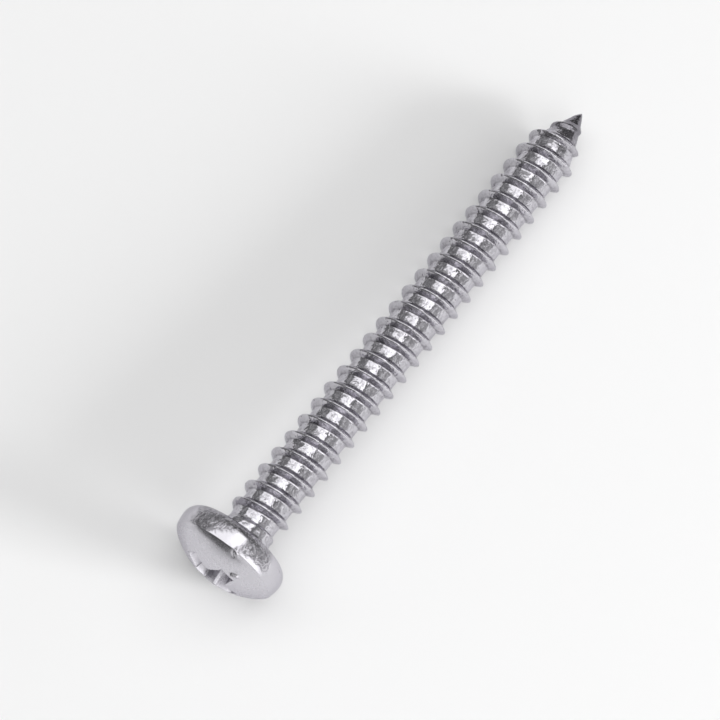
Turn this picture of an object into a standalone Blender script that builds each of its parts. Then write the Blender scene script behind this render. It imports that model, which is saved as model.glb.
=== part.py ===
"""A sheet metal screw: pan head with a cross recess, tapping thread and gimlet point.

The screw is one piece of steel. Its mesh runs along +X, from the crown of the head to the point,
with the bearing face under the head at x = 0. Angles around it start at +Y and turn toward +Z.
The finished screw lies on the floor, z = 0, on the rim of its head and the last full crest.
"""

import math

import bmesh
import bpy
from mathutils import Matrix, Vector

MM = 0.001

# Thread, with lengths measured from the bearing face.
LENGTH = 37.2 * MM
PITCH = 1.4 * MM
CREST_RADIUS = 2.0 * MM
CORE_RADIUS = 1.54 * MM
CREST_FLAT = 0.10 * MM
RIDGE_FOOT = 0.64 * MM
THREAD_START = 0.9 * MM
THREAD_RISE = 1.2 * MM
THREAD_MARGIN = 0.0875 * MM
CREST_PHASE = 0.258  # turns by which a crest leads the bearing face on the +Y side

# Point. A power below 1 gives the cone a slight belly.
CREST_POINT_LENGTH = 3.44 * MM
CREST_POINT_POWER = 0.88
CORE_POINT_LENGTH = 3.45 * MM
CORE_POINT_POWER = 0.81
POINT_TIP_LENGTH = 0.08 * MM

# Neck, which sits a little to one side, as the thread rolls squeezed it.
NECK_RADIUS = 1.69 * MM
NECK_FILLET_HEIGHT = 1.28 * MM
NECK_FILLET_REACH = 0.77 * MM
NECK_OFFSET = 0.15 * MM
NECK_OFFSET_ANGLE = math.radians(191.0)

# Head. A faint seam runs around it where the side meets the crown.
HEAD_RADIUS = 3.87 * MM
HEAD_HEIGHT = 3.2 * MM
BEARING_RADIUS = 3.1 * MM
SHOULDER_HEIGHT = 0.88 * MM
SIDE_DRAFT = 0.12 * MM
CROWN_HEIGHT = 1.49 * MM
CROWN_EDGE_RADIUS = 1.4 * MM
CROWN_EDGE_TILT = math.radians(33.0)

# Cross recess, with widths taken where it meets the crown.
RECESS_REACH = 2.04 * MM
RECESS_WING_WIDTH = 1.1 * MM
RECESS_FLUTE_REACH = 1.15 * MM
RECESS_WING_LAND = 0.25 * MM
RECESS_DEPTH = 2.1 * MM
RECESS_TIP_DEPTH = 2.5 * MM
WING_END_SLOPE = math.tan(math.radians(26.5))
WING_SIDE_SLOPE = math.tan(math.radians(3.5))
FLUTE_SLOPE = math.tan(math.radians(5.75))
FLUTE_RUN = 1.0 / math.tan(math.radians(25.0))
RECESS_ANGLE = math.radians(33.5)
CUTTER_RISE = 0.5 * MM

# Facets.
COLUMNS = 32
SPARE_TURNS = 2
NECK_RINGS = 4
NECK_RING_POWER = 1.5  # above 1 draws the rings together toward the bearing face
SHOULDER_RINGS = 5
SIDE_RINGS = 3
CROWN_EDGE_RINGS = 4
CROWN_RINGS = 5
CREASE_ANGLE = math.radians(32.0)
LEVELLING_STEPS = 40

STEEL_COLOUR = (0.64, 0.63, 0.67, 1.0)
STEEL_ROUGHNESS = 0.28


def column_angle(column):
    """Angle of a column of points. With a count that four divides, one column lies straight down."""
    return math.tau * column / COLUMNS


def around(x, radius, angle):
    """Point at a distance from the axis and an angle around it."""
    return Vector((x, radius * math.cos(angle), radius * math.sin(angle)))


def smooth_step(share):
    """Ease from 0 to 1, level at both ends."""
    share = min(max(share, 0.0), 1.0)
    return share * share * (3.0 - 2.0 * share)


def point_taper(x, length, power):
    """Share of the full radius that is left at x, where the point takes the last part of the screw."""
    return min(1.0, max(0.0, (LENGTH - x) / length)) ** power


def neck_radius(x, angle):
    """Radius of the neck, which flares into the bearing face along a quarter ellipse."""
    rise = max(0.0, 1.0 - x / NECK_FILLET_HEIGHT)
    flare = NECK_FILLET_REACH * (1.0 - math.sqrt(1.0 - rise * rise))
    return NECK_RADIUS + flare + NECK_OFFSET * math.cos(angle - NECK_OFFSET_ANGLE)


def shank_radius(x, angle, ridge):
    """Radius of the threaded shank, where ridge is 0 at the foot of the ridge and 1 on its crest."""
    core = CORE_RADIUS * point_taper(x, CORE_POINT_LENGTH, CORE_POINT_POWER)
    crest = CREST_RADIUS * point_taper(x, CREST_POINT_LENGTH, CREST_POINT_POWER)
    thread = core + (max(crest, core) - core) * ridge
    if x > THREAD_START + THREAD_RISE:
        return thread
    neck = neck_radius(x, angle)
    return neck + (thread - neck) * smooth_step((x - THREAD_START) / THREAD_RISE)


def ridge_corners():
    """Corners of the ridge across one pitch: how far each lies from the crest, and its ridge share."""
    foot = RIDGE_FOOT / 2.0
    flat = CREST_FLAT / 2.0
    return [(-foot, 0.0), (-flat, 1.0), (flat, 1.0), (foot, 0.0)]


def add_shank(bm):
    """Build the threaded shank as a sheet of rows wound along the helix.

    Each row runs one turn up the helix, so a row's last point is the first point of the row one
    turn on. Rows that pass the start of the thread or the tip, or come closer than the margin, are
    held there and share one ring. The function returns the ring at the start of the thread.
    """
    corners = ridge_corners()
    tip_x = LENGTH - POINT_TIP_LENGTH
    start_ring = []
    tip_ring = []
    for column in range(COLUMNS):
        angle = column_angle(column)
        start_ring.append(bm.verts.new(around(THREAD_START, neck_radius(THREAD_START, angle), angle)))
        tip_ring.append(bm.verts.new(around(tip_x, shank_radius(tip_x, angle, 0.0), angle)))

    placed = {}

    def point_at(column, turn, corner):
        turn += column // COLUMNS
        column %= COLUMNS
        angle = column_angle(column)
        offset, ridge = corners[corner]
        x = PITCH * (turn + CREST_PHASE + angle / math.tau) + offset
        if x < THREAD_START + THREAD_MARGIN:
            return start_ring[column]
        if x > tip_x - THREAD_MARGIN:
            return tip_ring[column]
        key = (column, turn, corner)
        if key not in placed:
            placed[key] = bm.verts.new(around(x, shank_radius(x, angle, ridge), angle))
        return placed[key]

    turns = range(-SPARE_TURNS, math.ceil(LENGTH / PITCH) + SPARE_TURNS)
    rows = [(turn, corner) for turn in turns for corner in range(len(corners))]
    for (turn, corner), (next_turn, next_corner) in zip(rows, rows[1:]):
        for column in range(COLUMNS):
            loop = [
                point_at(column, turn, corner),
                point_at(column, next_turn, next_corner),
                point_at(column + 1, next_turn, next_corner),
                point_at(column + 1, turn, corner),
            ]
            add_face(bm, loop)

    tip = bm.verts.new((LENGTH, 0.0, 0.0))
    for column in range(COLUMNS):
        add_face(bm, [tip_ring[column], tip, tip_ring[(column + 1) % COLUMNS]])
    return start_ring


def add_face(bm, loop):
    """Add a face, leaving out points that repeat and faces with fewer than three points."""
    points = [vert for index, vert in enumerate(loop) if vert is not loop[index - 1]]
    if len(set(points)) == len(points) and len(points) > 2:
        bm.faces.new(points)


def crown_arcs():
    """Centre (height, radius) of the arc at the crown's edge, and the radius of the dome inside it.

    The arc starts at the seam, and the dome meets it smoothly and passes through the crown's top.
    """
    seam = HEAD_HEIGHT - CROWN_HEIGHT
    height = seam - CROWN_EDGE_RADIUS * math.sin(CROWN_EDGE_TILT)
    radius = HEAD_RADIUS - SIDE_DRAFT - CROWN_EDGE_RADIUS * math.cos(CROWN_EDGE_TILT)
    below = HEAD_HEIGHT - height
    dome = (below ** 2 + radius ** 2 - CROWN_EDGE_RADIUS ** 2) / (2.0 * (below - CROWN_EDGE_RADIUS))
    return height, radius, dome


def head_profile():
    """Points (x, radius) from the edge of the bearing face, over the rim, to near the crown's middle."""
    seam = HEAD_HEIGHT - CROWN_HEIGHT
    shoulder = min(SHOULDER_HEIGHT, seam)
    points = []
    for ring in range(SHOULDER_RINGS + 1):
        turn = math.pi / 2.0 * ring / SHOULDER_RINGS
        radius = BEARING_RADIUS + (HEAD_RADIUS - BEARING_RADIUS) * math.sin(turn)
        points.append((-shoulder * (1.0 - math.cos(turn)), radius))
    for ring in range(1, SIDE_RINGS + 1):
        share = ring / SIDE_RINGS
        points.append((-shoulder - (seam - shoulder) * share, HEAD_RADIUS - SIDE_DRAFT * share ** 2))

    edge_height, edge_radius, dome = crown_arcs()
    dome_centre = HEAD_HEIGHT - dome
    start = math.pi / 2.0 - CROWN_EDGE_TILT
    meeting = math.atan2(edge_radius, edge_height - dome_centre)
    for ring in range(1, CROWN_EDGE_RINGS + 1):
        turn = start + (meeting - start) * ring / CROWN_EDGE_RINGS
        x = -edge_height - CROWN_EDGE_RADIUS * math.cos(turn)
        points.append((x, edge_radius + CROWN_EDGE_RADIUS * math.sin(turn)))
    for ring in range(1, CROWN_RINGS):
        turn = meeting * (1.0 - ring / CROWN_RINGS)
        points.append((-dome_centre - dome * math.cos(turn), dome * math.sin(turn)))
    return points


def add_ring(bm, x, radius_at):
    """Add one ring of points, with its radius as a function of the angle."""
    angles = [column_angle(column) for column in range(COLUMNS)]
    return [bm.verts.new(around(x, radius_at(angle), angle)) for angle in angles]


def add_head(bm, start_ring):
    """Close the screw from the start of the thread over the neck, bearing face, rim and crown."""
    rings = [start_ring]
    for ring in range(1, NECK_RINGS + 1):
        x = THREAD_START * (1.0 - ring / NECK_RINGS) ** NECK_RING_POWER
        rings.append(add_ring(bm, x, lambda angle, x=x: neck_radius(x, angle)))
    for x, radius in head_profile():
        rings.append(add_ring(bm, x, lambda angle, radius=radius: radius))
    for ring, next_ring in zip(rings, rings[1:]):
        for column in range(COLUMNS):
            following = (column + 1) % COLUMNS
            add_face(bm, [next_ring[column], ring[column], ring[following], next_ring[following]])
    crown = bm.verts.new((-HEAD_HEIGHT, 0.0, 0.0))
    for column in range(COLUMNS):
        add_face(bm, [rings[-1][(column + 1) % COLUMNS], crown, rings[-1][column]])


def recess_outline(depth):
    """Outline of the cross recess at a depth below the top of the crown, as points (y, z).

    Between two wings the outline turns in to the flute along two flats that meet in its middle.
    """
    dome = crown_arcs()[2]
    rim_depth = dome - math.sqrt(dome ** 2 - RECESS_REACH ** 2)
    below = depth - rim_depth
    reach = RECESS_REACH - WING_END_SLOPE * below
    half_width = RECESS_WING_WIDTH / 2.0 - WING_SIDE_SLOPE * below
    middle = (RECESS_FLUTE_REACH - FLUTE_SLOPE * below) / math.sqrt(2.0)
    corner = min(middle + (middle - half_width) * FLUTE_RUN, reach - RECESS_WING_LAND)
    arm = [(corner, -half_width), (reach, -half_width), (reach, half_width), (corner, half_width)]
    points = []
    for wing in range(4):
        turn = Matrix.Rotation(RECESS_ANGLE + wing * math.pi / 2.0, 2)
        points += [turn @ Vector(point) for point in arm + [(middle, middle)]]
    return points


def make_recess_cutter():
    """Solid that cuts the cross recess: tapered wings and a blunt cone at the bottom."""
    bm = bmesh.new()
    rings = []
    for depth in (-CUTTER_RISE, RECESS_DEPTH):
        x = depth - HEAD_HEIGHT
        rings.append([bm.verts.new((x, point.x, point.y)) for point in recess_outline(depth)])
    top, bottom = rings
    bm.faces.new(reversed(top))
    tip = bm.verts.new((RECESS_TIP_DEPTH - HEAD_HEIGHT, 0.0, 0.0))
    for index in range(len(top)):
        following = (index + 1) % len(top)
        bm.faces.new([top[index], top[following], bottom[following], bottom[index]])
        bm.faces.new([bottom[index], bottom[following], tip])
    bmesh.ops.recalc_face_normals(bm, faces=bm.faces)
    cutter = make_object("recess_cutter", bm)
    cutter.hide_render = True
    cutter.display_type = "WIRE"
    return cutter


def make_object(name, bm):
    """Turn a bmesh into an object in the scene."""
    mesh = bpy.data.meshes.new(name)
    bm.to_mesh(mesh)
    bm.free()
    thing = bpy.data.objects.new(name, mesh)
    bpy.context.scene.collection.objects.link(thing)
    return thing


def make_steel():
    """Bright plain steel."""
    steel = bpy.data.materials.new("bright_steel")
    steel.use_nodes = True
    shader = steel.node_tree.nodes["Principled BSDF"]
    shader.inputs["Base Color"].default_value = STEEL_COLOUR
    shader.inputs["Roughness"].default_value = STEEL_ROUGHNESS
    shader.inputs["Metallic"].default_value = 1.0
    return steel


def lying_angle(points):
    """Angle by which the screw tips forward to rest on both its head and its thread."""
    head = [point for point in points if point.x < 0.0]
    shank = [point for point in points if point.x > 0.0]

    def lowest(part, angle):
        return min(point.z * math.cos(angle) - point.x * math.sin(angle) for point in part)

    low, high = 0.0, math.pi / 4.0
    for _ in range(LEVELLING_STEPS):
        middle = (low + high) / 2.0
        if lowest(head, middle) < lowest(shank, middle):
            low = middle
        else:
            high = middle
    return (low + high) / 2.0


def lay_down(thing):
    """Tip the finished screw to its resting angle and set it on the floor, centred on the origin."""
    finished = thing.evaluated_get(bpy.context.evaluated_depsgraph_get())
    own_points = [vert.co.copy() for vert in finished.data.vertices]
    angle = lying_angle(own_points)
    tipped = Matrix.Rotation(angle, 3, "Y")
    points = [tipped @ point for point in own_points]
    thing.rotation_euler = (0.0, angle, 0.0)
    middle_x = (min(point.x for point in points) + max(point.x for point in points)) / 2.0
    middle_y = (min(point.y for point in points) + max(point.y for point in points)) / 2.0
    thing.location = (-middle_x, -middle_y, -min(point.z for point in points))


def make_screw():
    """Model the screw, cut its recess and lay it down."""
    bm = bmesh.new()
    add_head(bm, add_shank(bm))
    bmesh.ops.recalc_face_normals(bm, faces=bm.faces)
    screw = make_object("screw", bm)
    screw.data.shade_smooth()
    screw.data.set_sharp_from_angle(angle=CREASE_ANGLE)
    screw.data.materials.append(make_steel())

    cutter = make_recess_cutter()
    cutter.parent = screw
    recess = screw.modifiers.new("cross_recess", "BOOLEAN")
    recess.operation = "DIFFERENCE"
    recess.object = cutter
    lay_down(screw)


for thing in list(bpy.data.objects):
    bpy.data.objects.remove(thing, do_unlink=True)
make_screw()
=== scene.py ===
"""A sheet metal screw lying on a pale floor: pan head, cross recess, tapping thread, gimlet point.

The screw is one closed surface over two parameters, the angle around its axis and the way along its
outline, from the point over the thread, neck and head down into the recess. Lengths in the
formulas are millimetres in the screw's own frame: the axis runs along +X from head to point, the
bearing face is at x = 0, and angles start at +Y and turn toward +Z.
"""
import math

import bpy
import mathutils
import numpy as np
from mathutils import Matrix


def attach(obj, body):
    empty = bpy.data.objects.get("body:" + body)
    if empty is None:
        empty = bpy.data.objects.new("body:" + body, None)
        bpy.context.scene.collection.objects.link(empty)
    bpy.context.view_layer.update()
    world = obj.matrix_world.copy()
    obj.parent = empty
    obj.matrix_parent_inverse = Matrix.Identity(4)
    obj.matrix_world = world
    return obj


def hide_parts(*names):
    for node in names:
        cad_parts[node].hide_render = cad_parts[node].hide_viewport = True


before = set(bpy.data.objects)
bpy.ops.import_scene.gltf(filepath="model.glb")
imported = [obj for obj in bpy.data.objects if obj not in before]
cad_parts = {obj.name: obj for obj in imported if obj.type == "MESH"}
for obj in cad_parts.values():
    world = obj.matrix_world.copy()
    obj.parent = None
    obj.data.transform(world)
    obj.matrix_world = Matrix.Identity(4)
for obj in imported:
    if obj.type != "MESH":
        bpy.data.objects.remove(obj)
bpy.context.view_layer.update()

MM = 0.001
TURN = math.tau

# Margin, in millimetres, by which a point may miss a place and still count as there.
NEAR = 0.02

# Where the lying screw is: how far its axis dips toward the point, and the middle of its bearing face.
DIP = math.asin(0.05405907)
SEAT = (-17.01048, 0.0, 3.81677)

# Thread, neck and point. Each point has the length that it tapers over, and the power that it follows.
LENGTH = 37.2
PITCH = 1.4
CREST_RADIUS = 2.0
CORE_RADIUS = 1.54
CREST_PHASE = 0.258
CREST_HALF_FLAT = 0.05
RIDGE_HALF_FOOT = 0.32
CREST_SOFTNESS = 0.008
FOOT_SOFTNESS = 0.002
ROOT_SWELL = 0.006
ROOT_SAG = 1.6
CREST_POINT = (3.44, 0.88)
CORE_POINT = (3.45, 0.81)
TIP_START = LENGTH - 0.08
NECK_RADIUS = 1.69
NECK_FILLET_HEIGHT = 0.95
NECK_FILLET_SWAY = 0.33
NECK_FILLET_LOW_ANGLE = math.radians(76.0)
NECK_FILLET_REACH = 0.77
NECK_SHIFT = 0.09
NECK_SHIFT_ANGLE = math.radians(191.0)

# The spiral of mesh rows: where it starts, how soon it settles, how far short of the tip ring it ends,
# its spare turns past both ends, and the rows' distances from the crest.
SPIRAL_START = 0.32
SPIRAL_SETTLE = 0.12
TIP_MARGIN = 0.03
SPARE_TURNS = 2
ROW_DISTANCES = (0.03, 0.055, 0.085, 0.17, 0.26, 0.305, 0.35, 0.46)
COLUMNS = 176

# Run-in of the thread at the neck, in turns along the helix, and how far its two limits stand off.
GROOVE_START = 0.06
GROOVE_TURNS = 0.42
RIDGE_START = 0.5
RIDGE_TURNS = 0.85
LIMIT_MARGIN = 0.08
START_WAVE = 0.018
START_SOFTNESS = 0.008

# Small faults of the crest: a wave, and chips where a faster wave is above its threshold. The paces
# say how quickly each wave changes along the helix.
CREST_WAVE = 0.02
CREST_WAVE_PACE = 21.0
CREST_CHIP = 0.012
CREST_CHIP_PACE = 47.0
CHIP_THRESHOLD = 0.45

# Head.
HEAD_RADIUS = 3.87
HEAD_HEIGHT = 3.2
BEARING_RADIUS = 3.1
SHOULDER_HEIGHT = 0.88
SIDE_DRAFT = 0.12
SEAM = 1.71
CROWN_EDGE_RADIUS = 1.4
CROWN_EDGE_TILT = math.radians(33.0)

# Cross recess: sizes at the rim, depths under the crown's top, and how much the walls draw in with it.
RECESS_REACH = 2.04
RECESS_WING_WIDTH = 1.1
RECESS_FLUTE_REACH = 1.15
RECESS_WING_LAND = 0.25
RECESS_DEPTH = 2.1
RECESS_TIP_DEPTH = 2.5
WING_END_SLOPE = math.tan(math.radians(26.5))
WING_SIDE_SLOPE = math.tan(math.radians(13.0))
FLUTE_SLOPE = math.tan(math.radians(17.0))
FLUTE_RUN = 1.0 / math.tan(math.radians(16.0))
FLUTE_BLUNT = 0.06
RECESS_ANGLE = math.radians(33.5)
RIM_ROUND = 0.05

# Marks on the head: a lip and a nick across the seam, two dents on the side, and a burr beside the
# recess. Each has both ends of a short line, its width and its height over the surface.
HEAD_MARKS = (
    ((-1.66, -0.62, 3.70), (-1.86, -1.13, 3.46), 0.13, 0.05),
    ((-1.74, -0.80, 3.60), (-1.95, -0.98, 3.42), 0.1, -0.07),
    ((-1.50, -3.36, 1.74), (-1.60, -3.24, 1.96), 0.13, -0.08),
    ((-0.30, -3.40, 1.30), (-0.42, -3.50, 1.22), 0.14, -0.1),
    ((-2.70, -1.33, 1.92), (-2.57, -1.70, 1.96), 0.11, 0.24),
)

# The marks move the surface away from this place in the middle of the head. The gap is the least
# distance that their direction is worked out over.
HEAD_MIDDLE = (-1.1, 0.0, 0.0)
MIDDLE_GAP = 0.1

# The side that faces the camera, as an angle about the screw's own axis, and the one to its right.
CAMERA_SIDE = 101.0
RIGHT_SIDE = CAMERA_SIDE + 90.0

# Coarse patches on the head: their turn from the camera side, their reach as a cosine, their edge, how
# much it wavers, and where they start over the seam and off the neck.
PATCH_TURN = math.radians(20.0)
PATCH_REACH = 0.32
PATCH_EDGE = 0.42
PATCH_WAVER = 0.2
PATCH_OVER_SEAM = (-0.02, 0.05)
PATCH_OFF_NECK = (0.15, 0.3)

# Part of a patch that was pressed smooth: its left and right limits in degrees from the camera side,
# at places along the axis, then the width and waver of its edges.
PRESSED_PLACES = (-1.71, -1.6, -1.3, -0.95, -0.6, -0.45)
PRESSED_LEFT = (-34.0, -28.0, -20.0, -11.0, -6.5, 2.0)
PRESSED_RIGHT = (0.0, 0.0, 4.0, 8.5, 8.5, 2.0)
PRESSED_EDGE = 3.0
PRESSED_WAVER = 3.0

# Smooth strip along the seam: where it starts, in degrees, how far it goes, its height and its edge.
STRIP_START = 2.0
STRIP_RUN = 45.0
STRIP_HEIGHT = 0.29
STRIP_EDGE = 0.06

# Where each finish and each painted shade starts, and how far it takes to be full: along the axis, under
# the dome, or over the cosine that marks the flutes' middles, which stay bright by a share as a painted
# highlight. The recess holds painted shade, and the point a painted dark reflection.
SHANK_FINISH = (0.25, 0.3)
CROWN_FINISH = (SEAM + 0.01, 0.12)
POINT_PAINTED_REFLECTION = (33.8, 2.3)
RECESS_SHADE_ONSET = (0.08, 0.15)
FLUTE_HIGHLIGHT_ONSET = (0.9, 0.07)
FLUTE_PAINTED_HIGHLIGHT = 0.9

# Steel, the dark colour of its stains and of its painted shade, and its tint where it is seen at a low
# angle.
STEEL_COLOUR = (0.64, 0.627, 0.668, 1.0)
STAIN_AND_SHADE_COLOUR = (0.26, 0.25, 0.275, 1.0)
EDGE_TINT = (0.76, 0.75, 0.78, 1.0)

# Parts of the thread, between two shares of the ridge's height: the flank's two ends, the foot's upper
# end, and the root's two ends. The flank, the foot and the root are darkened there as painted shade. The
# stains fade between two such shares, from one strength to another, so that they are stronger toward the
# groove as painted shade.
FLANK_LOW = (0.04, 0.2)
FLANK_HIGH = (0.97, 0.86)
FOOT_SHADE_HIGH = (0.85, 0.4)
ROOT_SHADE_LOW = (0.003, 0.014)
ROOT_SHADE_HIGH = (0.3, 0.08)
STAIN_GROOVE_SHADE = (0.8, 0.2, 0.16, 0.38)

# Strength of a noise between which pits, stains and dark specks begin and are full.
PIT_NOISE = (0.66, 0.74)
STAIN_NOISE = (0.42, 0.64)
SPECK_NOISE = (0.4, 0.6)
SPECK_LEAST = 0.35

# Floor, in metres, and its paint.
FLOOR_HALF = 3.0
FLOOR_COLOUR = (0.9, 0.9, 0.9, 1.0)
FLOOR_ROUGHNESS = 0.9

# Camera: the way it looks from, in degrees; what it aims at, as a place on the screw's axis and steps
# to the right and up in the picture; its distance; and its lens and sensor.
CAMERA_AZIMUTH = 216.909
CAMERA_ELEVATION = 72.307
AIM_PLACE = 17.0
AIM_RIGHT = -2.547
AIM_UP = -1.2225
CAMERA_DISTANCE = 293.54
CAMERA_LENS = 226.776
CAMERA_SENSOR = 36.0

# Brightness of the studio by degrees to the right of the camera side: of the soft box, of the room
# around it, and of the room past the head's end.
SOFT_BOX_STOPS = ((-60.0, 1.26), (-22.0, 1.4), (-6.0, 1.8), (12.0, 1.8))
ROOM_STOPS = (
    (-179.0, 0.27), (-112.0, 0.27), (-96.0, 0.2), (-82.0, 0.17), (-78.0, 0.42), (-73.0, 0.42),
    (-69.0, 0.17), (-64.0, 0.2), (-50.0, 0.45), (8.0, 0.45), (14.0, 0.16), (20.0, 0.2), (25.0, 0.4),
    (31.0, 0.36), (35.0, 0.8), (40.0, 0.8), (44.0, 0.38), (56.0, 0.42), (72.0, 0.62), (86.0, 0.82),
    (179.0, 0.82),
)
HEAD_END_STOPS = (
    (-179.0, 0.36), (-110.0, 0.18), (-60.0, 0.1), (-10.0, 0.13), (12.0, 0.42), (40.0, 0.9), (179.0, 0.9),
)
HEAD_END_HAZE = 0.16
POINT_END_LIGHT = 0.15

# Where each part of the studio starts and where it is full, by the sine of the ray's lean toward the
# point.
HEAD_END_LEAN = (-0.5, -0.78)
HAZE_LEAN = (-0.92, -0.99)
POINT_END_LEAN = (0.6, 0.85)
BOX_TOP_LEAN = (0.74, 0.6)
BOX_FOOT_LEAN = (-0.42, -0.32)
WING_FOOT_LEAN = (-0.58, -0.5)

# The soft box's edges: where each starts and where it is full, in degrees. The left one is measured
# from a slanting line, the upper slant less the lower one. Each slant has the leans that it runs
# between, and its degrees there.
BOX_LEFT_EDGE = (-3.0, 3.0)
BOX_RIGHT_EDGE = (13.0, 10.5)
UPPER_SLANT = (0.22, 0.5, -51.0, -21.0)
LOWER_SLANT = (0.05, -0.2, 0.0, 12.0)

# The soft box's wing, on the right: its edges in degrees, and its top, which arches down by a parabola
# over the degrees from its middle.
WING_LEFT_EDGE = (9.0, 12.0)
WING_RIGHT_EDGE = (95.0, 62.0)
WING_MIDDLE = 53.0
WING_HALF = 42.0
WING_ARCH = 0.22
WING_TOP = (-0.05, -0.1)

# A dim spot on the soft box: its degrees to the right and toward the point, its edge and its light.
DIM_SPOT_SIDE = -22.0
DIM_SPOT_LEAN = 15.0
DIM_SPOT_EDGE = (7.0, 3.0)
DIM_SPOT_LIGHT = 0.45

# Low lamp beside the screw, in watts and metres.
LAMP_POWER = 2.3
LAMP_SIZE = 0.14
LAMP_PLACE = (0.12, -0.46, 0.12)


def ease(share):
    """Smooth step from 0 to 1: 3s^2 - 2s^3 of the share, held at both ends."""
    share = np.clip(share, 0.0, 1.0)
    return share * share * (3.0 - 2.0 * share)


def onset(place, finish):
    """Share of a finish, given as (start, run): a smooth step from its start to the end of its run."""
    start, run = finish
    return ease((place - start) / run)


def waver(where, seed, waves):
    """Uneven line between -1 and 1: a mean of sines of the place, each with its own length and start."""
    draw = np.random.default_rng(seed)
    total = np.zeros_like(where)
    for _ in range(waves):
        total = total + np.sin(where * draw.uniform(0.6, 3.4) + draw.uniform(0.0, TURN))
    return total / waves


def taper(x, point):
    """Share of the radius left at x: the distance to the tip over the point's length, to a power."""
    length, power = point
    return np.clip((LENGTH - x) / length, 0.0, 1.0) ** power


def neck_radius(x, angle):
    """Neck radius plus a quarter-ellipse flare into the bearing face, shifted a little to one side.

    The flare's height sways around the neck by a cosine of the angle, lowest on one side.
    """
    height = NECK_FILLET_HEIGHT - NECK_FILLET_SWAY * np.cos(angle - NECK_FILLET_LOW_ANGLE)
    rise = np.clip(1.0 - x / height, 0.0, 1.0)
    flare = NECK_FILLET_REACH * (1.0 - np.sqrt(1.0 - rise * rise))
    return NECK_RADIUS + flare + NECK_SHIFT * np.cos(angle - NECK_SHIFT_ANGLE)


def ridge_growth(helix):
    """Share of its full height that the ridge has grown to, by turns along the helix."""
    return ease((helix - RIDGE_START) / RIDGE_TURNS)


def ridge_share(away):
    """Height of the ridge, 0 to 1, at a distance from its crest line.

    A straight flank falls from the crest's flat to the foot, and both ends are rounded by a
    soft minimum and a soft maximum, the half sum plus or minus the half root of squares.
    """
    flank = 1.0 - (np.abs(away) - CREST_HALF_FLAT) / (RIDGE_HALF_FOOT - CREST_HALF_FLAT)
    topped = 0.5 * (flank + 1.0 - np.sqrt((flank - 1.0) ** 2 + CREST_SOFTNESS))
    return 0.5 * (topped + np.sqrt(topped ** 2 + FOOT_SOFTNESS))


def shank_radius(x, angle, turn, away):
    """Radius of the threaded shank at a place along the axis, for a row at a distance from its crest.

    The rolled profile runs from core to crest with the ridge's share, and the core swells beside the
    ridge's foot and sags in the middle of the groove. Two levels that change along the helix clamp
    it: below by the depth that the groove has reached, above by the height that the ridge has grown
    to. Both start at the neck, so that the groove and the ridge run in along the first turns.
    """
    core = CORE_RADIUS * taper(x, CORE_POINT)
    crest = np.maximum(core, CREST_RADIUS * taper(x, CREST_POINT))
    helix = turn + angle / TURN
    share = ridge_share(away)
    profile = core + (crest - core) * share
    hollow = np.clip((np.abs(away) - RIDGE_HALF_FOOT) / (PITCH / 2.0 - RIDGE_HALF_FOOT), 0.0, 1.0)
    swell = core / CORE_RADIUS * ROOT_SWELL * (1.0 - ROOT_SAG * ease(hollow))
    profile = profile + swell * (1.0 - share)
    neck = neck_radius(x, angle)
    groove = helix + np.where(away < 0.0, -0.5, 0.5)
    cut = ease((groove - GROOVE_START) / GROOVE_TURNS)
    grown = ridge_growth(helix)
    floor = neck + (core - LIMIT_MARGIN - neck) * cut
    wave = START_WAVE * waver(angle * 6.0 + turn, seed=5, waves=6) * (grown < 0.9)
    ceiling = neck + (crest + LIMIT_MARGIN - neck) * grown + wave
    joined = np.maximum(profile, floor)
    ceiling = np.maximum(ceiling, floor)
    soft = START_SOFTNESS * (1.0 - grown)
    joined = 0.5 * (joined + ceiling - np.sqrt((joined - ceiling) ** 2 + soft))
    chipped = waver(helix * CREST_CHIP_PACE, seed=12, waves=5) > CHIP_THRESHOLD
    fault = CREST_WAVE * waver(helix * CREST_WAVE_PACE, seed=11, waves=7) - CREST_CHIP * chipped
    joined = joined + fault * share ** 6 * taper(x, CREST_POINT)
    settle = ease((x - SPIRAL_START) / SPIRAL_SETTLE)
    return neck + (joined - neck) * settle


def spiral_rows():
    """Distances from the crest, across one pitch, at which a row of points winds up the shank."""
    after = np.array(ROW_DISTANCES)
    return np.concatenate([-after[::-1], [0.0], after, [PITCH / 2.0]])


def spiral_points():
    """Rows that wind one turn up the helix each, and the number of the point at each place.

    x = pitch * (turn + phase + angle / full turn) + distance from the crest. Points before the
    start ring or past the tip ring are that ring's own. One more column repeats the first column
    a turn later, so that the rows join.
    """
    rows = spiral_rows()
    turns = np.arange(-SPARE_TURNS, math.ceil(LENGTH / PITCH) + SPARE_TURNS + 1)
    turn = np.repeat(turns, len(rows))[:, None].astype(float)
    away = np.tile(rows, len(turns))[:, None]
    column = np.arange(COLUMNS)[None, :]
    angle = column * TURN / COLUMNS + 0.0 * turn
    x = PITCH * (turn + CREST_PHASE + angle / TURN) + away
    radius = shank_radius(x, angle, turn, away)
    before = x < SPIRAL_START + NEAR
    past = x > TIP_START - TIP_MARGIN
    free = ~(before | past)
    number = np.where(before, column, COLUMNS + column)
    number[free] = 2 * COLUMNS + np.arange(free.sum())
    start = around(SPIRAL_START, neck_radius(SPIRAL_START, angle[0]), angle[0])
    tip = around(TIP_START, CORE_RADIUS * taper(TIP_START, CORE_POINT), angle[0])
    crest_share = ridge_share(away) * ridge_growth(turn + angle / TURN)
    points = np.concatenate([start, tip, around(x[free], radius[free], angle[free])])
    marks = np.concatenate([np.zeros(COLUMNS), np.ones(COLUMNS), crest_share[free]])
    number = np.hstack([number[:-len(rows)], number[len(rows):, :1]])
    return points, number, marks


def around(x, radius, angle):
    """Points (x, radius cos angle, radius sin angle)."""
    x = np.broadcast_to(x, np.shape(angle))
    return np.stack([x, radius * np.cos(angle), radius * np.sin(angle)], -1)


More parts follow.
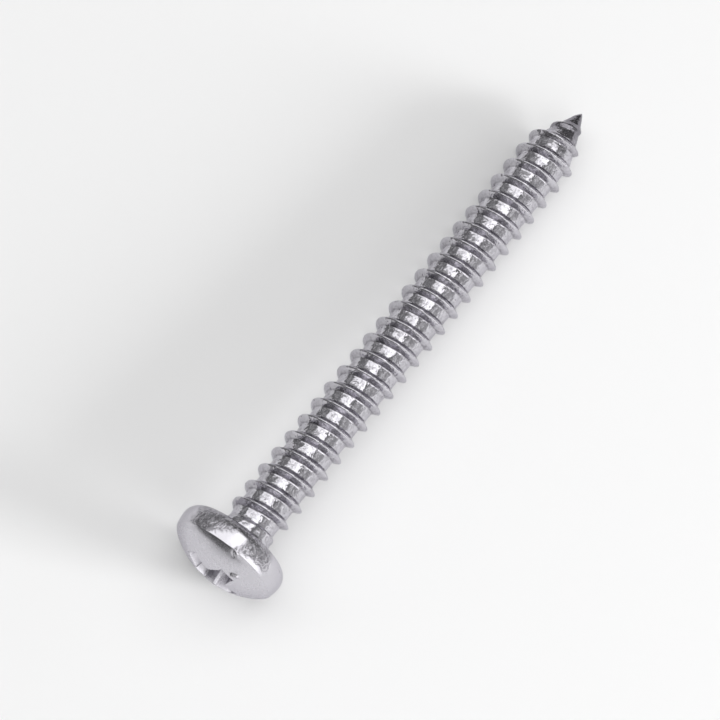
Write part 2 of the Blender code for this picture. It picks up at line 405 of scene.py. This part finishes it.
def crown_arcs():
    """Centre of the crown's edge arc, and the radius of the dome that meets it and the crown's top.

    The dome's radius is (h^2 + r^2 - e^2) / 2(h - e), with h and r the top's height and distance
    from the arc's centre, and e the arc's radius.
    """
    height = SEAM - CROWN_EDGE_RADIUS * math.sin(CROWN_EDGE_TILT)
    radius = HEAD_RADIUS - SIDE_DRAFT - CROWN_EDGE_RADIUS * math.cos(CROWN_EDGE_TILT)
    over = HEAD_HEIGHT - height
    dome = (over ** 2 + radius ** 2 - CROWN_EDGE_RADIUS ** 2) / (2.0 * (over - CROWN_EDGE_RADIUS))
    return height, radius, dome


def dome_x(radius):
    """Place of the dome's surface along the axis, from its centre: the root of dome^2 - radius^2."""
    dome = crown_arcs()[2]
    return -(HEAD_HEIGHT - dome) - np.sqrt(dome ** 2 - np.minimum(radius, dome) ** 2)


def dome_edge():
    """Angle about the dome's centre at which the dome meets the crown's edge arc."""
    height, radius, dome = crown_arcs()
    return math.atan2(radius, height + dome - HEAD_HEIGHT)


def rim_depth():
    """Depth of the recess wings' ends under the crown's top, where they meet the dome."""
    dome = crown_arcs()[2]
    return dome - math.sqrt(dome ** 2 - RECESS_REACH ** 2)


def head_outline():
    """Outline (x, radius) from the bearing face over shoulder, side and seam to the dome.

    The shoulder is a quarter ellipse, the side a parabola, and the crown's edge a circle's arc.
    """
    turn = np.linspace(0.0, math.pi / 2.0, 15)
    shoulder = np.stack([
        -SHOULDER_HEIGHT * (1.0 - np.cos(turn)),
        BEARING_RADIUS + (HEAD_RADIUS - BEARING_RADIUS) * np.sin(turn),
    ], -1)
    share = np.array([0.2, 0.4, 0.6, 0.75, 0.88, 0.96, 0.985, 1.0])
    side = np.stack([
        -SHOULDER_HEIGHT - (SEAM - SHOULDER_HEIGHT) * share,
        HEAD_RADIUS - SIDE_DRAFT * share ** 2,
    ], -1)
    height, radius, _ = crown_arcs()
    start = math.pi / 2.0 - CROWN_EDGE_TILT
    share = np.array([0.012, 0.05, 0.14, 0.26, 0.4, 0.55, 0.7, 0.85, 1.0])
    turn = start + (dome_edge() - start) * share
    edge = np.stack([
        -height - CROWN_EDGE_RADIUS * np.cos(turn),
        radius + CROWN_EDGE_RADIUS * np.sin(turn),
    ], -1)
    return np.concatenate([shoulder, side, edge])


def recess_corners(depth):
    """Corners (y, z) of the cross at a depth under the crown's top, six for each quarter turn.

    Four are a wing's. The last two are the blunt middle of the flute between it and the next wing.
    The wings and flutes draw in by their slopes times the depth below the rim.
    """
    below = depth - rim_depth()
    reach = RECESS_REACH - WING_END_SLOPE * below
    half = RECESS_WING_WIDTH / 2.0 - WING_SIDE_SLOPE * below
    middle = (RECESS_FLUTE_REACH - FLUTE_SLOPE * below) / math.sqrt(2.0)
    corner = min(middle + (middle - half) * FLUTE_RUN, reach - RECESS_WING_LAND)
    arm = np.array([
        [corner, -half], [reach, -half], [reach, half], [corner, half],
        [middle + FLUTE_BLUNT, middle - FLUTE_BLUNT], [middle - FLUTE_BLUNT, middle + FLUTE_BLUNT],
    ])
    angle = RECESS_ANGLE + np.arange(4)[:, None] * math.pi / 2.0
    y = arm[:, 0] * np.cos(angle) - arm[:, 1] * np.sin(angle)
    z = arm[:, 0] * np.sin(angle) + arm[:, 1] * np.cos(angle)
    return np.stack([y.ravel(), z.ravel()], -1)


def recess_ring(depth):
    """The cross outline at a depth, one point (y, z) for each column.

    Each corner keeps the column nearest to its angle at the rim, and the columns between two
    corners share the straight edge evenly.
    """
    rim = recess_corners(rim_depth())
    column = np.round(np.unwrap(np.arctan2(rim[:, 1], rim[:, 0])) * COLUMNS / TURN)
    corners = recess_corners(depth)
    column = np.concatenate([column - COLUMNS, column, column + COLUMNS])
    corners = np.tile(corners, (3, 1))
    place = np.arange(COLUMNS)
    return np.stack([np.interp(place, column, corners[:, axis]) for axis in (0, 1)], -1)


def recess_rings():
    """Rings from the dome's edge to the recess rim, down its walls and over its floor.

    The rings slide from the circle to the cross, a quarter circle rounds the rim, the walls are
    ruled between outlines, and the floor is a blunt cone.
    """
    angle = np.arange(COLUMNS) * TURN / COLUMNS
    dome = crown_arcs()[2]
    rings = []
    for share in (0.95, 0.9, 0.85, 0.8):
        radius = dome * math.sin(dome_edge() * share)
        rings.append(around(dome_x(radius), radius, angle))
    circle = rings[-1][:, 1:]
    rim = recess_ring(rim_depth())
    along = np.roll(rim, -1, 0) - np.roll(rim, 1, 0)
    outward = np.stack([along[:, 1], -along[:, 0]], -1)
    outward = outward / np.linalg.norm(outward, axis=1, keepdims=True)
    outward = 0.5 * outward + 0.25 * (np.roll(outward, 1, 0) + np.roll(outward, -1, 0))
    wide = rim + RIM_ROUND * outward
    for share in (0.12, 0.26, 0.4, 0.54, 0.68, 0.8, 0.9, 0.97):
        flat = circle + (wide - circle) * share
        rings.append(np.concatenate([dome_x(np.linalg.norm(flat, axis=1))[:, None], flat], 1))
    for step in (0.0, 0.33, 0.67, 1.0):
        turn = step * math.pi / 2.0
        flat = rim + RIM_ROUND * (1.0 - math.sin(turn)) * outward
        x = dome_x(np.linalg.norm(flat, axis=1)) + RIM_ROUND * (1.0 - math.cos(turn))
        rings.append(np.concatenate([x[:, None], flat], 1))
    rim_x = rings[-1][:, 0]
    bottom = RECESS_DEPTH - HEAD_HEIGHT
    for share in (0.12, 0.3, 0.5, 0.7, 0.88, 0.97):
        x = rim_x + (bottom - rim_x) * share
        wall = recess_ring(float(np.mean(x)) + HEAD_HEIGHT)
        rings.append(np.concatenate([x[:, None], wall], 1))
    floor = recess_ring(RECESS_DEPTH)
    for share in (0.98, 0.8, 0.6, 0.4, 0.2):
        x = bottom + (RECESS_TIP_DEPTH - RECESS_DEPTH) * (1.0 - share) + 0.0 * angle
        rings.append(np.concatenate([x[:, None], floor * share], 1))
    return rings


def head_rings():
    """Rings from the start of the spiral over the neck, bearing face, shoulder, side and crown.

    Down the neck they crowd toward the bearing face, by a power of the share of the way.
    """
    angle = np.arange(COLUMNS) * TURN / COLUMNS
    rings = []
    for share in np.linspace(0.0, 1.0, 9)[1:]:
        x = SPIRAL_START * (1.0 - share) ** 1.6
        rings.append(around(x, neck_radius(x, angle), angle))
    foot = neck_radius(0.0, angle)
    for share in (0.35, 0.7):
        rings.append(around(0.0, foot + (BEARING_RADIUS - foot) * share, angle))
    for x, radius in head_outline():
        rings.append(around(x, radius + 0.0 * angle, angle))
    return rings + recess_rings()


def band_faces(lower, upper, wrap):
    """Two triangles for each place between two rows of point numbers, without those that repeat one.

    Wrapped rows, which wind along +X, have their corners the other way round than the rings that go
    toward the head, so that all faces point outwards.
    """
    a, b = lower[..., :-1], upper[..., :-1]
    d, c = lower[..., 1:], upper[..., 1:]
    first = np.stack([a, d, c], -1) if wrap else np.stack([a, b, c], -1)
    second = np.stack([a, c, b], -1) if wrap else np.stack([a, c, d], -1)
    faces = np.concatenate([first.reshape(-1, 3), second.reshape(-1, 3)])
    return faces[(faces != np.roll(faces, 1, 1)).all(1)]


def screw_mesh():
    """Join spiral, tip, neck, head and recess into one closed mesh of triangles.

    Returns its points, its faces, and each point's share of the ridge's height.
    """
    points, number, marks = spiral_points()
    faces = [band_faces(number[:-1], number[1:], True)]
    tip = len(points)
    points = np.concatenate([points, [[LENGTH, 0.0, 0.0]]])
    marks = np.concatenate([marks, [1.0]])
    ring = np.arange(COLUMNS)
    faces.append(np.stack([COLUMNS + ring, COLUMNS + np.roll(ring, -1), np.full(COLUMNS, tip)], -1))

    rings = head_rings()
    head = np.concatenate(rings)
    first = len(points)
    rows = first + np.arange(len(head)).reshape(len(rings), COLUMNS)
    rows = np.vstack([ring, rows])
    rows = np.hstack([rows, rows[:, :1]])
    faces.append(band_faces(rows[:-1], rows[1:], False))
    floor = first + len(head)
    faces.append(np.stack([rows[-1, :-1], np.full(COLUMNS, floor), rows[-1, 1:]], -1))
    bottom = [RECESS_TIP_DEPTH - HEAD_HEIGHT, 0.0, 0.0]
    points = np.concatenate([points, worn(head), [bottom]])
    marks = np.concatenate([marks, np.zeros(len(head) + 1)])
    return points, np.concatenate(faces), marks


def lay_down(points):
    """Tip the axis down by the dip, about Y, and carry the bearing face's middle to its seat."""
    x = points[:, 0] * math.cos(DIP) + points[:, 2] * math.sin(DIP)
    z = -points[:, 0] * math.sin(DIP) + points[:, 2] * math.cos(DIP)
    return (np.stack([x, points[:, 1], z], -1) + np.array(SEAT)) * MM


def coarse_share(own):
    """How coarse the head's side and underside are, 0 to 1, at points in the screw's own frame.

    Two patches on opposite sides are coarse: a cosine of twice the angle, eased over its edge. In the
    first, the die pressed one part smooth, between limits that change along the axis, and beside it
    a strip along the seam, as high as half a sine wave over the angle. All edges waver a little.
    """
    x, y, z = own.T
    radius = np.hypot(y, z)
    angle = np.arctan2(z, y)
    camera_side = math.radians(CAMERA_SIDE)
    apart = (angle - camera_side + math.pi) % TURN - math.pi
    apart = np.degrees(apart) + PRESSED_WAVER * waver(angle * 27.0 + x * 9.0, seed=21, waves=7)
    left = np.interp(x, PRESSED_PLACES, PRESSED_LEFT)
    right = np.interp(x, PRESSED_PLACES, PRESSED_RIGHT)
    smooth = ease((apart - left) / PRESSED_EDGE + 0.5) * ease((right - apart) / PRESSED_EDGE + 0.5)
    arch = STRIP_HEIGHT * np.sin(np.clip((apart - STRIP_START) / STRIP_RUN, 0.0, 1.0) * math.pi)
    smooth = np.maximum(smooth, ease((arch - SEAM - x) / STRIP_EDGE))
    uneven = PATCH_WAVER * waver(angle * 19.0 + x * 5.0, seed=22, waves=6)
    patch = np.cos(2.0 * (angle - camera_side) + PATCH_TURN)
    patch = ease((patch + PATCH_REACH + uneven) / PATCH_EDGE)
    over_seam = onset(x + SEAM, PATCH_OVER_SEAM)
    off_neck = onset(radius - NECK_RADIUS, PATCH_OFF_NECK) * (x < NEAR)
    return over_seam * off_neck * patch * (1.0 - smooth)


def worn(own):
    """Points of the head with its small marks: nicks pressed in, and a burr raised beside the recess.

    Each mark moves the surface away from the head's middle by its height times a bell curve of the
    distance to the mark's own short line.
    """
    outward = own - np.array(HEAD_MIDDLE)
    outward = outward / np.maximum(np.linalg.norm(outward, axis=1, keepdims=True), MIDDLE_GAP)
    moved = own.copy()
    for start, end, width, height in HEAD_MARKS:
        start, run = np.array(start), np.array(end) - np.array(start)
        share = np.clip((own - start) @ run / (run @ run), 0.0, 1.0)
        away = np.linalg.norm(own - start - share[:, None] * run, axis=1)
        moved = moved + (height * np.exp(-(away / width) ** 2))[:, None] * outward
    return moved


def finish_shares(own, marks):
    """Where each finish of the steel and each painted shade is, 0 to 1, at points in the screw's own
    frame.

    The ridge's share is its height. The others are smooth steps over the place along the axis, and
    the recess's painted shade over the depth under the dome, less the middles of its flutes, where a
    cosine of four times the angle is near its top, which stay bright as a painted highlight. The point's
    step is a painted dark reflection.
    """
    x, y, z = own.T
    flat = np.hypot(y, z)
    inside = (x < RECESS_TIP_DEPTH - HEAD_HEIGHT + NEAR) * (flat < RECESS_REACH + NEAR)
    flute = -np.cos(4.0 * (np.arctan2(z, y) - RECESS_ANGLE))
    # Painted shade inside the recess, deeper under the dome; the flutes' middles are spared as a painted
    # highlight.
    painted_recess_shade = onset(x - dome_x(flat), RECESS_SHADE_ONSET) * inside
    return {
        "ridge": marks,
        "shank": onset(x, SHANK_FINISH),
        "coarse": coarse_share(own),
        "crown": onset(-x, CROWN_FINISH),
        "painted_recess_shade": painted_recess_shade * (1.0 - FLUTE_PAINTED_HIGHLIGHT * onset(flute, FLUTE_HIGHLIGHT_ONSET)),
        # The point's share is a painted dark reflection.
        "point": onset(x, POINT_PAINTED_REFLECTION),
    }


def build_screw():
    """Make the screw's object from the joined surface, with the shares of the finishes, the painted shade
    and the painted highlight as attributes.
    """
    own, faces, marks = screw_mesh()
    placed = lay_down(own)
    mesh = bpy.data.meshes.new("steel_screw")
    mesh.from_pydata(placed.tolist(), [], faces.tolist())
    mesh.validate()
    mesh.shade_smooth()
    for name, share in finish_shares(own, marks).items():
        attribute = mesh.attributes.new(name, "FLOAT", "POINT")
        attribute.data.foreach_set("value", share.astype(np.float32))
    screw = bpy.data.objects.new("steel_screw", mesh)
    bpy.context.scene.collection.objects.link(screw)
    return screw


def node_tools(tree):
    """Two functions that add nodes to a material's or the world's tree: maths, and a smooth step."""

    def maths(operation, *values):
        """Result of a math node over numbers and other nodes' results."""
        node = tree.nodes.new("ShaderNodeMath")
        node.operation = operation
        for socket, value in zip(node.inputs, values):
            if isinstance(value, (int, float)):
                socket.default_value = value
            else:
                tree.links.new(value, socket)
        return node.outputs[0]

    def smooth_step(value, low, high, start=0.0, end=1.0):
        """Smooth step from start, where the value is low, to end, where it is high."""
        node = tree.nodes.new("ShaderNodeMapRange")
        node.interpolation_type = "SMOOTHSTEP"
        tree.links.new(value, node.inputs["Value"])
        for name, number in (("From Min", low), ("From Max", high), ("To Min", start), ("To Max", end)):
            node.inputs[name].default_value = number
        return node.outputs["Result"]

    return maths, smooth_step


def make_steel():
    """Bright plain steel, worked out in millimetres in the screw's own frame.

    Several kinds of unevenness make the surface: mottling of two sizes, small pits, rolling lines,
    which are a noise squeezed along the axis so that its streaks run around the shank, grain on the
    head's coarse patches and the thread's flanks, and a faint satin all over. They tilt the surface
    by their height in millimetres. Pits, stains and satin also roughen and darken it. The thread's
    flanks, feet and roots and the recess are darkened as painted shade, with the flutes' middles left
    bright as a painted highlight, and the point is darkened as a painted dark reflection; this darkening
    changes only the colour.
    """
    steel = bpy.data.materials.new("bright_steel")
    steel.use_nodes = True
    nodes = steel.node_tree.nodes
    links = steel.node_tree.links
    maths, smooth_step = node_tools(steel.node_tree)
    shader = nodes["Principled BSDF"]
    shader.inputs["Metallic"].default_value = 1.0
    shader.inputs["Specular Tint"].default_value = EDGE_TINT

    def placed(stretch):
        """Place in the screw's own frame, in millimetres, stretched along its axes."""
        node = nodes.new("ShaderNodeMapping")
        node.inputs["Rotation"].default_value = (0.0, -DIP, 0.0)
        node.inputs["Scale"].default_value = (1.0 / MM, 1.0 / MM, 1.0 / MM)
        links.new(nodes.new("ShaderNodeTexCoord").outputs["Object"], node.inputs["Vector"])
        squeeze = nodes.new("ShaderNodeMapping")
        squeeze.inputs["Scale"].default_value = stretch
        links.new(node.outputs["Vector"], squeeze.inputs["Vector"])
        return squeeze.outputs["Vector"]

    def noise(scale, detail, stretch=(1.0, 1.0, 1.0), distortion=0.0):
        """Noise with so many waves to the millimetre, and finer ones by its detail."""
        node = nodes.new("ShaderNodeTexNoise")
        node.inputs["Scale"].default_value = scale
        node.inputs["Detail"].default_value = detail
        node.inputs["Distortion"].default_value = distortion
        links.new(placed(stretch), node.inputs["Vector"])
        return node.outputs["Fac"]

    def sum_of(*terms):
        """Sum of terms, each a list of factors that are multiplied."""
        total = None
        for term in terms:
            product = None
            for factor in term:
                product = factor if product is None else maths("MULTIPLY", product, factor)
            total = product if total is None else maths("ADD", total, product)
        return total

    def marked(name):
        """Share of a finish, from the mesh's own attribute."""
        node = nodes.new("ShaderNodeAttribute")
        node.attribute_name = name
        return node.outputs["Fac"]

    # Where the finishes and the painted shade are, and the patterns over them.
    coarse = marked("coarse")
    crown = marked("crown")
    # The recess's share is painted shade, spared at the flutes' middles as a painted highlight.
    painted_recess_shade = marked("painted_recess_shade")
    # The point's share is a painted dark reflection.
    point = marked("point")
    ridge = marked("ridge")
    shank = marked("shank")
    flank = maths("MULTIPLY", smooth_step(ridge, *FLANK_LOW), smooth_step(ridge, *FLANK_HIGH))
    mottle = noise(2.7, 1.8, distortion=0.4)
    pits = maths("MULTIPLY", smooth_step(noise(6.5, 1.0), *PIT_NOISE), shank)
    lines = noise(1.0, 2.0, (11.0, 1.1, 1.1))
    grain = noise(2.8, 3.5, distortion=1.2)
    broad = noise(1.3, 0.0)
    stains = smooth_step(noise(3.6, 2.5, distortion=0.8), *STAIN_NOISE)
    satin = noise(1.3, 4.0)

    # Each term below multiplies a pattern, the finish that it is on, and its amount.
    height = sum_of(
        [mottle, shank, 0.048], [broad, shank, 0.08], [lines, shank, 0.004], [pits, -0.006],
        [maths("SUBTRACT", grain, 0.5), coarse, 0.07], [grain, flank, 0.006], [satin, 0.004],
    )
    bump = nodes.new("ShaderNodeBump")
    bump.inputs["Distance"].default_value = MM
    links.new(height, bump.inputs["Height"])
    links.new(bump.outputs["Normal"], shader.inputs["Normal"])

    rough = sum_of(
        [0.12], [shank, -0.04], [satin, 0.06], [pits, 0.25], [stains, 0.05], [coarse, 0.06],
        [flank, 0.04], [crown, 0.12],
    )
    links.new(rough, shader.inputs["Roughness"])

    # Painted shade: the thread's flanks, foot and root are darker, the stains fade toward the crest so
    # that the grooves are darker, the recess is darker except at the flutes' middles, which stay bright
    # as a painted highlight, and the point is darker as a painted dark reflection.
    specks = maths("MULTIPLY", smooth_step(grain, *SPECK_NOISE, SPECK_LEAST, 1.0), coarse)
    foot = maths("MULTIPLY", smooth_step(ridge, *FLANK_LOW), smooth_step(ridge, *FOOT_SHADE_HIGH))
    root = maths("MULTIPLY", smooth_step(ridge, *ROOT_SHADE_LOW), smooth_step(ridge, *ROOT_SHADE_HIGH))
    # Real stains, made stronger toward the grooves and weaker on the crests as painted shade.
    stain_groove_shade = smooth_step(ridge, *STAIN_GROOVE_SHADE)
    stains_and_painted_shade = sum_of(
        [pits, 0.55], [stains, shank, stain_groove_shade], [satin, 0.05], [specks, 0.68], [flank, 0.03],
        [foot, 0.12], [root, 0.5], [painted_recess_shade, 0.35], [point, 1.0],
    )
    colour = nodes.new("ShaderNodeMix")
    colour.data_type = "RGBA"
    colour.inputs["A"].default_value = STEEL_COLOUR
    colour.inputs["B"].default_value = STAIN_AND_SHADE_COLOUR
    links.new(stains_and_painted_shade, colour.inputs["Factor"])
    links.new(colour.outputs["Result"], shader.inputs["Base Color"])
    return steel


def make_floor(height):
    """A wide pale floor under the screw."""
    mesh = bpy.data.meshes.new("pale_floor")
    signs = ((-1.0, -1.0), (1.0, -1.0), (1.0, 1.0), (-1.0, 1.0))
    corners = [(FLOOR_HALF * x, FLOOR_HALF * y, height) for x, y in signs]
    mesh.from_pydata(corners, [], [(0, 1, 2, 3)])
    floor = bpy.data.objects.new("pale_floor", mesh)
    bpy.context.scene.collection.objects.link(floor)
    paint = bpy.data.materials.new("pale_floor")
    paint.use_nodes = True
    shader = paint.node_tree.nodes["Principled BSDF"]
    shader.inputs["Base Color"].default_value = FLOOR_COLOUR
    shader.inputs["Roughness"].default_value = FLOOR_ROUGHNESS
    mesh.materials.append(paint)


def make_camera():
    """Long lens above the screw, as in the photograph, with the screw running up to the right.

    The picture's right is level and square to the camera's direction, and its up is square to both.
    """
    azimuth = math.radians(CAMERA_AZIMUTH)
    elevation = math.radians(CAMERA_ELEVATION)
    level = math.cos(elevation)
    back = np.array([level * math.cos(azimuth), level * math.sin(azimuth), math.sin(elevation)])
    right = np.array([-math.sin(azimuth), math.cos(azimuth), 0.0])
    up = np.cross(back, right)
    aim = lay_down(np.array([[AIM_PLACE, 0.0, 0.0]]))[0] / MM + AIM_RIGHT * right + AIM_UP * up
    camera = bpy.data.objects.new("camera", bpy.data.cameras.new("camera"))
    bpy.context.scene.collection.objects.link(camera)
    camera.location = (aim + CAMERA_DISTANCE * back) * MM
    turn = np.stack([right, up, back], -1)
    camera.rotation_euler = mathutils.Matrix(turn.tolist()).to_euler()
    camera.data.lens = CAMERA_LENS
    camera.data.sensor_width = CAMERA_SENSOR
    camera.data.clip_start = 0.01
    camera.data.clip_end = 10.0
    bpy.context.scene.camera = camera


def own_direction(degrees):
    """Direction square to the screw's axis, at an angle in the screw's own frame, as the scene has it."""
    angle = math.radians(degrees)
    y, z = math.cos(angle), math.sin(angle)
    return (z * math.sin(DIP), y, z * math.cos(DIP))


def make_studio():
    """Light from all around, worked out from the ray's direction, as a soft box over a pale table.

    Two values place each ray: the way around the screw's axis, in degrees to the right of the
    camera side, and the sine of its lean toward the point. The room is dim on the left and light
    on the right, more so past the head's end, and dim past the point. The soft box is a bright
    window with a slanting left edge, a wing on its right and a dim spot.
    """
    world = bpy.data.worlds.new("studio")
    bpy.context.scene.world = world
    world.use_nodes = True
    nodes = world.node_tree.nodes
    links = world.node_tree.links
    maths, smooth_step = node_tools(world.node_tree)
    ray = nodes.new("ShaderNodeTexCoord").outputs["Generated"]

    def toward(direction):
        """The ray's part along a direction."""
        node = nodes.new("ShaderNodeVectorMath")
        node.operation = "DOT_PRODUCT"
        links.new(ray, node.inputs[0])
        node.inputs[1].default_value = direction
        return node.outputs["Value"]

    def steps(value, stops):
        """Brightness that changes evenly between stops given as (degrees, brightness)."""
        node = nodes.new("ShaderNodeValToRGB")
        links.new(maths("MULTIPLY_ADD", value, 1.0 / 360.0, 0.5), node.inputs[0])
        ramp = node.color_ramp
        ramp.elements.remove(ramp.elements[-1])
        ramp.elements[0].position = 0.0
        ramp.elements[0].color = (stops[0][1], stops[0][1], stops[0][1], 1.0)
        for degrees, bright in stops[1:]:
            ramp.elements.new(degrees / 360.0 + 0.5).color = (bright, bright, bright, 1.0)
        return node.outputs["Color"]

    def blend(share, first, second):
        """Mean of two values, with the share of the second."""
        rest = maths("MULTIPLY", first, maths("SUBTRACT", 1.0, share))
        return maths("ADD", rest, maths("MULTIPLY", second, share))

    def both(first, second):
        """Product of two values."""
        return maths("MULTIPLY", first, second)

    ahead = (math.cos(DIP), 0.0, -math.sin(DIP))
    lean = toward(ahead)
    side = maths("ARCTAN2", toward(own_direction(RIGHT_SIDE)), toward(own_direction(CAMERA_SIDE)))
    side = maths("DEGREES", side)
    room = steps(side, ROOM_STOPS)
    past_head = steps(side, HEAD_END_STOPS)
    room = blend(smooth_step(lean, *HEAD_END_LEAN), room, past_head)
    room = blend(smooth_step(lean, *HAZE_LEAN), room, HEAD_END_HAZE)
    room = blend(smooth_step(lean, *POINT_END_LEAN), room, POINT_END_LIGHT)

    slant = maths("SUBTRACT", smooth_step(lean, *UPPER_SLANT), smooth_step(lean, *LOWER_SLANT))
    from_left = maths("SUBTRACT", side, slant)
    box = both(smooth_step(from_left, *BOX_LEFT_EDGE), smooth_step(side, *BOX_RIGHT_EDGE))
    box = both(box, both(smooth_step(lean, *BOX_TOP_LEAN), smooth_step(lean, *BOX_FOOT_LEAN)))
    arch = maths("MULTIPLY_ADD", side, 1.0 / WING_HALF, -WING_MIDDLE / WING_HALF)
    arch = maths("MULTIPLY_ADD", both(arch, arch), WING_ARCH, lean)
    wing = both(smooth_step(side, *WING_LEFT_EDGE), smooth_step(side, *WING_RIGHT_EDGE))
    wing = both(wing, both(smooth_step(arch, *WING_TOP), smooth_step(lean, *WING_FOOT_LEAN)))
    box = maths("MINIMUM", maths("ADD", box, wing), 1.0)

    across = own_direction(CAMERA_SIDE + DIM_SPOT_SIDE)
    spot = math.radians(DIM_SPOT_LEAN)
    spot = tuple(math.cos(spot) * a + math.sin(spot) * b for a, b in zip(across, ahead))
    edge = [math.cos(math.radians(degrees)) for degrees in DIM_SPOT_EDGE]
    dimmed = smooth_step(toward(spot), *edge, 1.0, DIM_SPOT_LIGHT)
    light = blend(box, room, both(steps(side, SOFT_BOX_STOPS), dimmed))
    background = nodes["Background"]
    background.inputs["Color"].default_value = (1.0, 1.0, 1.0, 1.0)
    links.new(light, background.inputs["Strength"])


def make_lamp():
    """A low lamp beside the screw that lights the floor for the shadow. The steel doesn't mirror it."""
    lamp = bpy.data.objects.new("side_lamp", bpy.data.lights.new("side_lamp", "AREA"))
    lamp.data.energy = LAMP_POWER
    lamp.data.size = LAMP_SIZE
    lamp.visible_glossy = False
    lamp.location = LAMP_PLACE
    lamp.rotation_euler = (-lamp.location).to_track_quat("-Z", "Y").to_euler()
    bpy.context.scene.collection.objects.link(lamp)


screw = build_screw()
screw.data.materials.append(make_steel())
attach(screw, "root")
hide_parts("screw")
make_floor(0.0)
make_camera()
make_studio()
make_lamp()
bpy.context.scene.view_settings.view_transform = "Standard"
